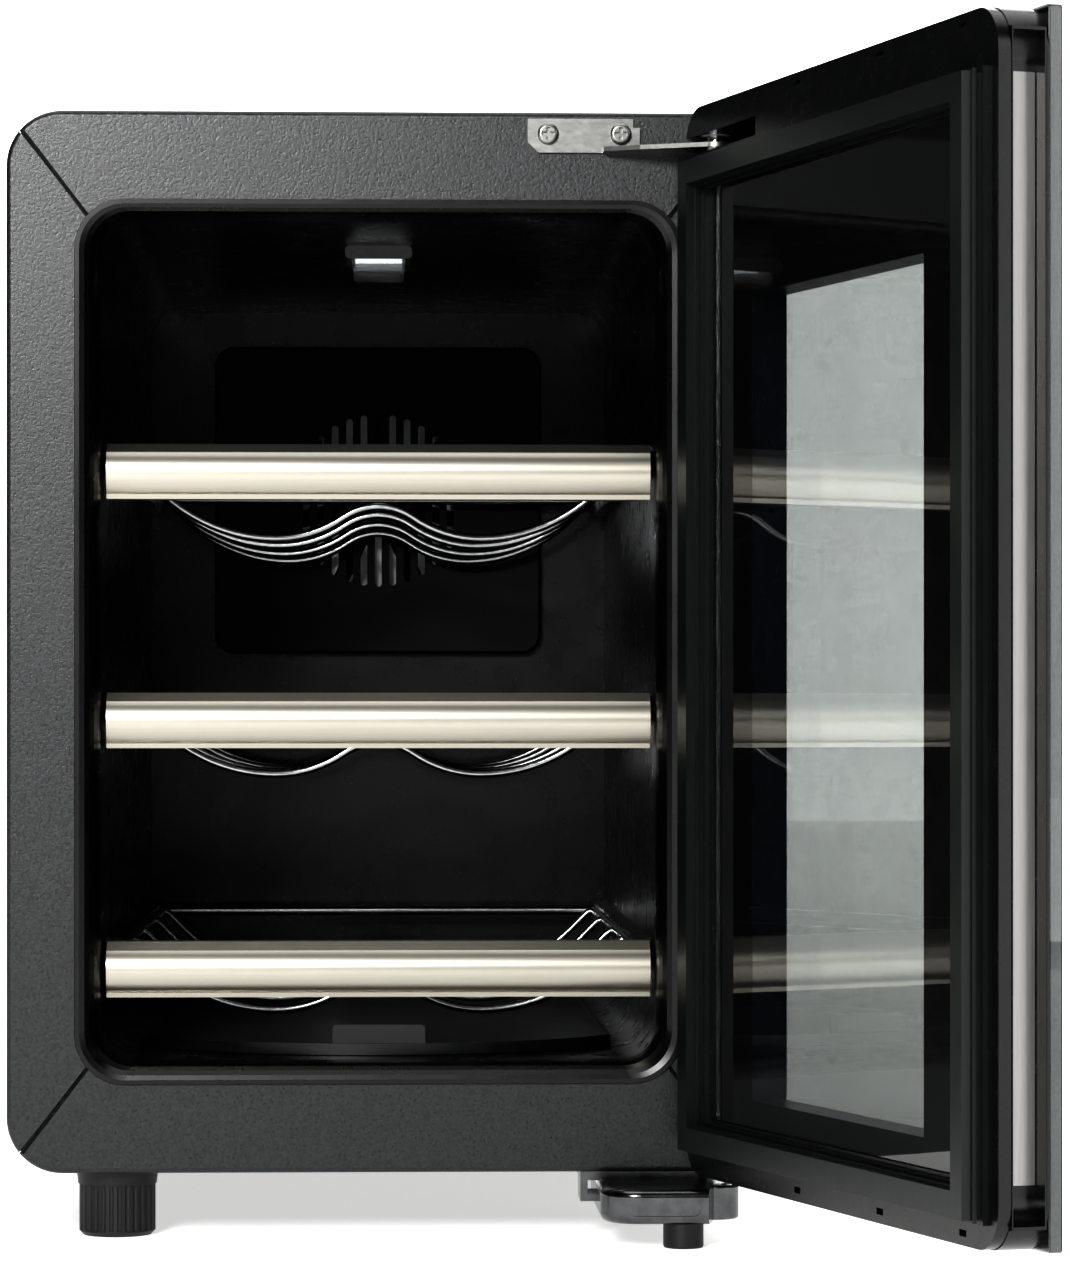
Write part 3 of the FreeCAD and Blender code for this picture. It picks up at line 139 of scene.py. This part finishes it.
def finish(name, colour, shade, rough, grain, relief=0.0, spread=0.06, stretch=(1, 1, 1),
           metallic=0.0, coat=0.0, clear=0.0, ior=1.5, on_door=False, lit=0.0):
    """A surface whose colour, gloss and relief vary by a grain in millimetres."""
    material, tree = start(name)
    place = put(tree, "ShaderNodeTexCoord")
    turn = {"Scale": stretch}
    if on_door:
        back = door_place().inverted()
        turn = {"Rotation": back.to_euler(), "Location": back.translation}
    source = put(tree, "ShaderNodeMapping", turn, {"Vector": (place, "Object")})
    if on_door and stretch != (1, 1, 1):
        source = put(tree, "ShaderNodeVectorMath", {1: stretch}, {0: (source, "Vector")},
                     operation="MULTIPLY")
    noise = put(tree, "ShaderNodeTexNoise",
                {"Scale": 1 / (grain * MM), "Detail": GRAIN_DETAIL, "Roughness": GRAIN_ROUGHNESS},
                {"Vector": (source, "Vector")})
    ramp = put(tree, "ShaderNodeValToRGB", None, {"Fac": (noise, "Fac")})
    ramp.color_ramp.elements[0].position = GRAIN_LOW
    ramp.color_ramp.elements[1].position = GRAIN_HIGH
    ramp.color_ramp.elements[0].color = srgb(shade)
    ramp.color_ramp.elements[1].color = srgb(colour)
    gloss = put(tree, "ShaderNodeMapRange", {"To Min": max(rough - spread, 0.0), "To Max": rough + spread},
                {"Value": (noise, "Fac")})
    values = {"Metallic": metallic, "Coat Weight": coat, "Coat Roughness": COAT_ROUGHNESS,
              "Transmission Weight": clear}
    if not metallic:
        values["IOR"] = ior
    if lit:
        values["Emission Color"] = srgb(colour)
        values["Emission Strength"] = lit
    links = {"Base Color": (ramp, "Color"), "Roughness": (gloss, "Result")}
    if relief:
        bump = put(tree, "ShaderNodeBump", {"Distance": relief * MM, "Strength": 1.0},
                   {"Height": (noise, "Fac")})
        links["Normal"] = (bump, "Normal")
    shader = put(tree, "ShaderNodeBsdfPrincipled", values, links)
    put(tree, "ShaderNodeOutputMaterial", None, {"Surface": (shader, "BSDF")})
    return material


def dress(material, *nodes):
    """Gives the CAD nodes this material."""
    for name in nodes:
        mesh = frame["nodes"][name].data
        mesh.materials.clear()
        mesh.materials.append(material)


def drop(name):
    """Removes an earlier piece of this name, so that an operator can run again."""
    old = bpy.data.objects.get(name)
    if old:
        bpy.data.objects.remove(old, do_unlink=True)


def settle(name, mesh, material):
    """Turns a bmesh into a named object with one material."""
    drop(name)
    data = bpy.data.meshes.new(name)
    mesh.to_mesh(data)
    mesh.free()
    data.materials.append(material)
    item = bpy.data.objects.new(name, data)
    bpy.context.scene.collection.objects.link(item)
    return item


def make(name, mesh, material, body):
    """Turns a bmesh into a named piece that rides on a body."""
    bmesh.ops.recalc_face_normals(mesh, faces=mesh.faces)
    piece = settle(name, mesh, material)
    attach(piece, body)
    return piece


def ring_plate(outer, window, near, far):
    """Flat ring in the closed door's plane: a rectangle with a rectangular window."""
    x0, x1, z0, z1 = outer
    mesh = bmesh.new()
    bmesh.ops.create_grid(mesh, x_segments=1, y_segments=1, size=0.5)
    bmesh.ops.rotate(mesh, verts=mesh.verts, matrix=Matrix.Rotation(math.pi / 2, 3, "X"))
    bmesh.ops.scale(mesh, verts=mesh.verts, vec=(x1 - x0, 1, z1 - z0))
    bmesh.ops.translate(mesh, verts=mesh.verts, vec=((x0 + x1) / 2, near, (z0 + z1) / 2))
    for x in window[:2]:
        bmesh.ops.bisect_plane(mesh, geom=mesh.faces[:] + mesh.edges[:] + mesh.verts[:],
                               plane_co=(x, 0, 0), plane_no=(1, 0, 0))
    for z in window[2:]:
        bmesh.ops.bisect_plane(mesh, geom=mesh.faces[:] + mesh.edges[:] + mesh.verts[:],
                               plane_co=(0, 0, z), plane_no=(0, 0, 1))
    hole = [face for face in mesh.faces
            if window[0] < face.calc_center_median().x < window[1]
            and window[2] < face.calc_center_median().z < window[3]]
    bmesh.ops.delete(mesh, geom=hole, context="FACES")
    grown = bmesh.ops.extrude_face_region(mesh, geom=mesh.faces[:], use_keep_orig=True)
    moved = [item for item in grown["geom"] if isinstance(item, bmesh.types.BMVert)]
    bmesh.ops.translate(mesh, verts=moved, vec=(0, far - near, 0))
    bmesh.ops.transform(mesh, verts=mesh.verts, matrix=door_place())
    return mesh


# ---- properties ----------------------------------------------------------------
class CoolerLooks(bpy.types.PropertyGroup):
    """Colours and sizes of the added pieces."""
    print_thick: bpy.props.FloatProperty(
        name="Print thickness", description="Thickness of the black print in the panes",
        default=0.15 * MM, min=0.02 * MM, subtype="DISTANCE", unit="LENGTH")
    lamp_strength: bpy.props.FloatProperty(
        name="Lamp strength", description="Brightness of the ceiling lamp's diodes",
        default=0.9, min=0)


class CoolerStage(bpy.types.PropertyGroup):
    """Floor, light and camera."""
    key_power: bpy.props.FloatProperty(
        name="Key light", description="Power of the soft light at the upper left",
        default=38.0, min=0, subtype="POWER", unit="POWER")
    top_power: bpy.props.FloatProperty(
        name="Top light", description="Power of the softbox over the object, which whitens the floor",
        default=32.0, min=0, subtype="POWER", unit="POWER")
    fill_power: bpy.props.FloatProperty(
        name="Fill light", description="Power of the soft light at the right",
        default=6.0, min=0, subtype="POWER", unit="POWER")
    back_power: bpy.props.FloatProperty(
        name="Back light", description="Power of the softbox that whitens the floor behind the object",
        default=150.0, min=0, subtype="POWER", unit="POWER")
    front_power: bpy.props.FloatProperty(
        name="Front strip", description="Power of the narrow strip above the camera, seen in the trims",
        default=2.5, min=0, subtype="POWER", unit="POWER")
    world_strength: bpy.props.FloatProperty(
        name="Room light", description="Brightness of the even light from all round", default=0.03, min=0)
    paper_glow: bpy.props.FloatProperty(
        name="Paper glow", description="Light that the floor paper gives off itself", default=0.48, min=0)
    screen_glow: bpy.props.FloatProperty(
        name="Screen glow", description="Light that the screen far behind gives off", default=1.0, min=0)
    camera_distance: bpy.props.FloatProperty(
        name="Camera distance", description="Camera in front of the cabinet's face",
        default=1.5419, min=0.3, subtype="DISTANCE", unit="LENGTH")
    camera_height: bpy.props.FloatProperty(
        name="Camera height", description="Camera above the cabinet's underside",
        default=0.1542, subtype="DISTANCE", unit="LENGTH")


# ---- operators: finishes of the CAD pieces ------------------------------------------
class COOLER_OT_casing(bpy.types.Operator):
    """Finishes of the cabinet's casing"""
    bl_idname = "cooler.casing"
    bl_label = "Casing"

    def execute(self, context):
        # Spark-textured ABS, moulded: a fine leathery grain that scatters the light into a soft sheen.
        bezel = finish("textured_abs", "#26282a", "#040505", 0.33, 0.85, relief=0.11, spread=0.16,
                       ior=1.54)
        dress(bezel, "front_frame_top", "front_frame_bottom", "front_frame_left", "front_frame_right")
        # Powder-coated sheet steel: even black with a very slight orange peel.
        dress(finish("powder_coated_steel", "#0f1011", "#0a0b0c", 0.36, 2.5, relief=0.02), "outer_shell")
        # Moulded ABS with a matt tool finish.
        dress(finish("moulded_abs", "#111213", "#0b0c0d", 0.55, 1.4, relief=0.05), "base_pan",
              "rear_cover")
        # Vacuum-formed ABS: smooth and slightly wavy from the forming, so the mouth catches soft streaks.
        dress(finish("formed_abs", "#030404", "#020202", 0.28, 14.0, relief=0.004, ior=1.45),
              "inner_liner")
        # A darker, matt copy of the same sheet for the cover: painted shade, so that the cover stays dark
        # in the depth of the room.
        dress(finish("formed_abs_cover", "#020202", "#010101", 0.6, 2.0, relief=0.02, ior=1.3),
              "interior_fan_cover")
        # Rigid polyurethane foam: pale, open-celled and dull.
        dress(finish("polyurethane_foam", "#d8cf9c", "#bcae76", 0.9, 2.2, relief=0.5), "foam_insulation")
        # Hot-dip galvanised sheet: cloudy zinc flowers about 12 mm across.
        dress(finish("galvanised_sheet", "#b3b6b8", "#8f9396", 0.38, 12.0, metallic=1.0, spread=0.12),
              "rear_bulkhead")
        return {"FINISHED"}


class COOLER_OT_fittings(bpy.types.Operator):
    """Finishes of the hinges, screws and feet"""
    bl_idname = "cooler.fittings"
    bl_label = "Hinges and feet"

    def execute(self, context):
        # Zinc-plated steel, passivated: bright, faintly cloudy, with rolling marks along X.
        zinc = finish("zinc_plated_steel", "#939390", "#848582", 0.32, 1.5, metallic=1.0,
                      stretch=(0.4, 1, 1))
        dress(zinc, "top_hinge_plate", "top_hinge_screws", "bottom_hinge_screws", "rear_screws",
              "shelf_1_screws", "shelf_2_screws", "shelf_3_screws", "front_foot_stud")
        # Chromed zinc casting, smoke tone: dark mirror, a little wavy from the casting under it.
        dress(finish("chromed_casting", "#6e6f70", "#555657", 0.19, 6.0, relief=0.05, metallic=1.0,
                     spread=0.05), "bottom_hinge_bracket")
        # Turned and polished steel.
        dress(finish("polished_steel", "#cfd0d0", "#b4b5b6", 0.16, 0.8, metallic=1.0, stretch=(1, 1, 6)),
              "top_hinge_pin", "bottom_hinge_pin")
        # Glass-filled nylon, moulded: black with a fine matt skin.
        dress(finish("moulded_nylon", "#101112", "#0a0b0b", 0.5, 0.9, relief=0.04), "front_foot",
              "hinge_foot")
        # Vulcanised rubber: dull black with dust in its pores.
        dress(finish("vulcanised_rubber", "#232323", "#181818", 0.78, 0.8, relief=0.06), "rear_feet")
        # Acetal bush: waxy off-white.
        dress(finish("acetal", "#dcdbd4", "#cfcdc4", 0.4, 3.0), "top_hinge_bush", "bottom_hinge_bush")
        return {"FINISHED"}


class COOLER_OT_cooling(bpy.types.Operator):
    """Finishes of the cooling parts and electrics"""
    bl_idname = "cooler.cooling"
    bl_label = "Cooling and electrics"

    def execute(self, context):
        # Extruded aluminium, mill finish: grey metal with die lines along the fins.
        dress(finish("mill_aluminium", "#b9bbbd", "#9b9da0", 0.34, 1.2, relief=0.02, metallic=1.0,
                     stretch=(1, 1, 0.1)), "cold_sink", "cold_block", "hot_sink", "power_supply")
        # Alumina ceramic of the module: matt white.
        dress(finish("alumina_ceramic", "#e6e3da", "#d5d1c6", 0.6, 1.0), "thermoelectric_module")
        # Moulded PBT of the fans: black, satin.
        dress(finish("moulded_pbt", "#17181a", "#0f1011", 0.4, 1.5, relief=0.02), "cold_fan_frame",
              "cold_fan_rotor", "hot_fan_frame", "hot_fan_rotor", "mains_inlet", "temperature_sensor")
        # Solder mask on glass-epoxy board: deep green with a light gloss.
        dress(finish("solder_mask_board", "#1c5a34", "#123f24", 0.32, 2.0, coat=0.3), "control_board",
              "touch_control_board")
        return {"FINISHED"}


class COOLER_OT_lamp(bpy.types.Operator):
    """Finishes of the ceiling lamp"""
    bl_idname = "cooler.lamp"
    bl_label = "Lamp"

    def execute(self, context):
        # Polycarbonate, moulded: smoke grey housing, clear lens, and diodes that glow cool white.
        dress(finish("moulded_polycarbonate", "#4a4b4b", "#3a3b3b", 0.35, 3.0), "lamp_housing")
        dress(finish("clear_polycarbonate", "#f4f6f7", "#e8ebec", 0.06, 6.0, clear=0.95, ior=1.58,
                     spread=0.03, relief=0.03), "lamp_lens")
        dress(finish("lit_diode_board", "#f3f6fa", "#dfe5ec", 0.5, 2.0,
                     lit=context.scene.cooler_looks.lamp_strength), "lamp_board")
        return {"FINISHED"}


class COOLER_OT_shelves(bpy.types.Operator):
    """Finishes of the shelves and the drip tray"""
    bl_idname = "cooler.shelves"
    bl_label = "Shelves and tray"

    def execute(self, context):
        # Anodised aluminium, champagne: satin metal, brushed along the trim's length.
        trim = finish("anodised_champagne_aluminium", "#b7b3a9", "#b0aca1", 0.32, 0.4, relief=0.0003,
                      metallic=1.0, spread=0.015, stretch=(0.01, 1, 1))
        # Chromed steel wire: bright, with the draw marks of the die.
        wire = finish("chromed_wire", "#b4b5b6", "#9a9b9d", 0.18, 2.0, metallic=1.0, spread=0.05)
        for number in (1, 2, 3):
            dress(trim, "shelf_%d_trim" % number)
            dress(wire, "shelf_%d_rack" % number)
        # Moulded polypropylene: dark grey with a soft gloss.
        dress(finish("moulded_polypropylene", "#121314", "#0d0e0f", 0.33, 4.0, relief=0.02), "drip_tray")
        return {"FINISHED"}


class COOLER_OT_door(bpy.types.Operator):
    """Finishes of the door"""
    bl_idname = "cooler.door"
    bl_label = "Door"

    def execute(self, context):
        # High-gloss ABS, moulded: near black with a green cast and a clean sheen.
        dress(finish("gloss_abs", "#0a0c0b", "#060807", 0.26, 6.0, relief=0.02, on_door=True),
              "door_frame", "door_inner_frame", "finger_grip")
        # Soft extruded PVC: dark green-grey, satin, drawn along the seal.
        dress(finish("extruded_pvc", "#131816", "#0d1210", 0.36, 1.5, relief=0.02, on_door=True,
                     stretch=(1, 1, 0.1)), "door_gasket")
        # Rubber filled with ferrite powder: dull dark brown.
        dress(finish("magnet_rubber", "#2a211c", "#1d1714", 0.8, 1.0), "gasket_magnets")
        # Brushed aluminium strip: light satin grey, drawn upwards.
        dress(finish("satin_aluminium_strip", "#b2b0ae", "#a3a2a0", 0.42, 0.8, metallic=1.0, on_door=True,
                     stretch=(1, 1, 0.03)), "finger_grip_strip")
        # Rolled aluminium spacer bar with a blue-grey anodised skin.
        dress(finish("spacer_bar_aluminium", "#333a42", "#282f36", 0.42, 1.2, metallic=1.0, on_door=True),
              "glass_spacer")
        # Float glass: the outer pane is tinted grey in the melt, the inner one is almost clear.
        dress(finish("tinted_float_glass", "#868887", "#838584", 0.0, 60.0, clear=1.0, ior=1.52,
                     spread=0.0, on_door=True), "outer_glass")
        dress(finish("clear_float_glass", "#f3f6f5", "#eff3f1", 0.0, 60.0, clear=1.0, ior=1.52,
                     spread=0.0, on_door=True), "inner_glass")
        return {"FINISHED"}


# ---- operators: new pieces --------------------------------------------------------
class COOLER_OT_prints(bpy.types.Operator):
    """Black printed borders in the two panes, and the outer pane's ground rim"""
    bl_idname = "cooler.prints"
    bl_label = "Pane prints and rim"

    def execute(self, context):
        # Ceramic frit fired onto the glass: dense black, seen through the pane's own gloss.
        thick = context.scene.cooler_looks.print_thick
        frit = finish("black_ceramic_frit", "#060707", "#040505", 0.35, 4.0, on_door=True)
        for name, pane, depth in (("inner_pane_print", INNER_PANE, INNER_PRINT_AT),
                                  ("outer_pane_print", OUTER_PANE, OUTER_PRINT_AT)):
            near = door_plane(depth)
            make(name, ring_plate(pane, WINDOW, near, near - thick), frit, "door")
        # Ground rim of the outer pane: fine grey frost, seen through the glass's skin.
        frost = finish("ground_glass_rim", "#dfe2e2", "#cdd0d0", 0.55, 1.2, on_door=True)
        wide = 2 * thick
        within = (RIM[0] + wide, RIM[1] - wide, RIM[2] + wide, RIM[3] - wide)
        make("outer_pane_rim", ring_plate(RIM, within, door_plane(RIM_FROM), door_plane(RIM_TO)), frost,
             "door")
        return {"FINISHED"}


class COOLER_OT_stage(bpy.types.Operator):
    """Pale floor and backdrop, soft lights and the camera"""
    bl_idname = "cooler.stage"
    bl_label = "Stage"

    def execute(self, context):
        settings = context.scene.cooler_stage
        # Matt studio paper: white with almost no texture.
        paper = finish("studio_paper", "#f7f7f6", "#f4f4f3", 0.8, 40.0, lit=settings.paper_glow)
        self.sheet("stage_floor", FLOOR_SIZE, Matrix.Identity(4), paper)
        # Lit acrylic screen, far enough back that the door doesn't mirror it: an even white.
        screen = finish("lit_acrylic_screen", "#ffffff", "#fefefe", 0.8, 40.0, lit=settings.screen_glow)
        upright = Matrix.Translation(SCREEN_PLACE) @ Matrix.Rotation(math.pi / 2, 4, "X")
        self.sheet("stage_screen", SCREEN_SIZE, upright, screen)
        for name, (power, place, size, aim) in LIGHTS.items():
            self.light(name, place, size, getattr(settings, power), aim)
        world = bpy.data.worlds.new("studio")
        context.scene.world = world
        world.use_nodes = True
        tree = world.node_tree
        tree.nodes.clear()
        # The room seen directly is white, as the floor is, and it lights the object only faintly.
        ray = put(tree, "ShaderNodeLightPath")
        level = put(tree, "ShaderNodeMapRange", {"To Min": settings.world_strength, "To Max": 1.0},
                    {"Value": (ray, "Is Camera Ray")})
        room = put(tree, "ShaderNodeBackground", {"Color": srgb("#ffffff")},
                   {"Strength": (level, "Result")})
        put(tree, "ShaderNodeOutputWorld", None, {"Surface": (room, "Background")})
        context.scene.view_settings.view_transform = "Standard"
        context.scene.view_settings.look = "High Contrast"
        camera = bpy.data.cameras.new("camera")
        camera.lens = CAMERA_LENS
        camera.sensor_width = CAMERA_SENSOR
        camera.sensor_fit = "AUTO"
        camera.shift_y = CAMERA_SHIFT
        eye = bpy.data.objects.new("camera", camera)
        eye.location = (CAMERA_X, FACE_Y - settings.camera_distance, UNDERSIDE + settings.camera_height)
        eye.rotation_euler = (math.pi / 2, 0, CAMERA_TURN)
        context.scene.collection.objects.link(eye)
        context.scene.camera = eye
        return {"FINISHED"}

    def sheet(self, name, size, place, material):
        """Flat sheet of the stage."""
        mesh = bmesh.new()
        bmesh.ops.create_grid(mesh, x_segments=1, y_segments=1, size=0.5)
        bmesh.ops.scale(mesh, verts=mesh.verts, vec=(*size, 1))
        bmesh.ops.transform(mesh, verts=mesh.verts, matrix=place)
        settle(name, mesh, material)

    def light(self, name, place, size, power, aim):
        """Rectangular soft light that points at a spot."""
        drop(name)
        lamp = bpy.data.lights.new(name, "AREA")
        lamp.shape = "RECTANGLE"
        lamp.size, lamp.size_y = size
        lamp.energy = power
        item = bpy.data.objects.new(name, lamp)
        item.location = place
        item.rotation_euler = (Vector(aim) - Vector(place)).to_track_quat("-Z", "Y").to_euler()
        bpy.context.scene.collection.objects.link(item)


OPERATORS = (COOLER_OT_casing, COOLER_OT_fittings, COOLER_OT_cooling, COOLER_OT_lamp, COOLER_OT_shelves,
             COOLER_OT_door, COOLER_OT_prints, COOLER_OT_stage)


class COOLER_PT_panel(bpy.types.Panel):
    """Lists the pieces and their settings"""
    bl_idname = "COOLER_PT_panel"
    bl_label = "Wine cooler"
    bl_space_type = "VIEW_3D"
    bl_region_type = "UI"
    bl_category = "Wine cooler"

    def draw(self, context):
        for group in (context.scene.cooler_looks, context.scene.cooler_stage):
            for name in group.__annotations__:
                self.layout.prop(group, name)
        for operator in OPERATORS:
            self.layout.operator(operator.bl_idname)


CLASSES = (CoolerLooks, CoolerStage) + OPERATORS + (COOLER_PT_panel,)


def register():
    for item in CLASSES:
        bpy.utils.register_class(item)
    bpy.types.Scene.cooler_looks = bpy.props.PointerProperty(type=CoolerLooks)
    bpy.types.Scene.cooler_stage = bpy.props.PointerProperty(type=CoolerStage)


def unregister():
    del bpy.types.Scene.cooler_stage
    del bpy.types.Scene.cooler_looks
    for item in reversed(CLASSES):
        bpy.utils.unregister_class(item)


def main():
    register()
    for operator in OPERATORS:
        group, name = operator.bl_idname.split(".")
        getattr(getattr(bpy.ops, group), name)()


if __name__ == "__main__":
    main()
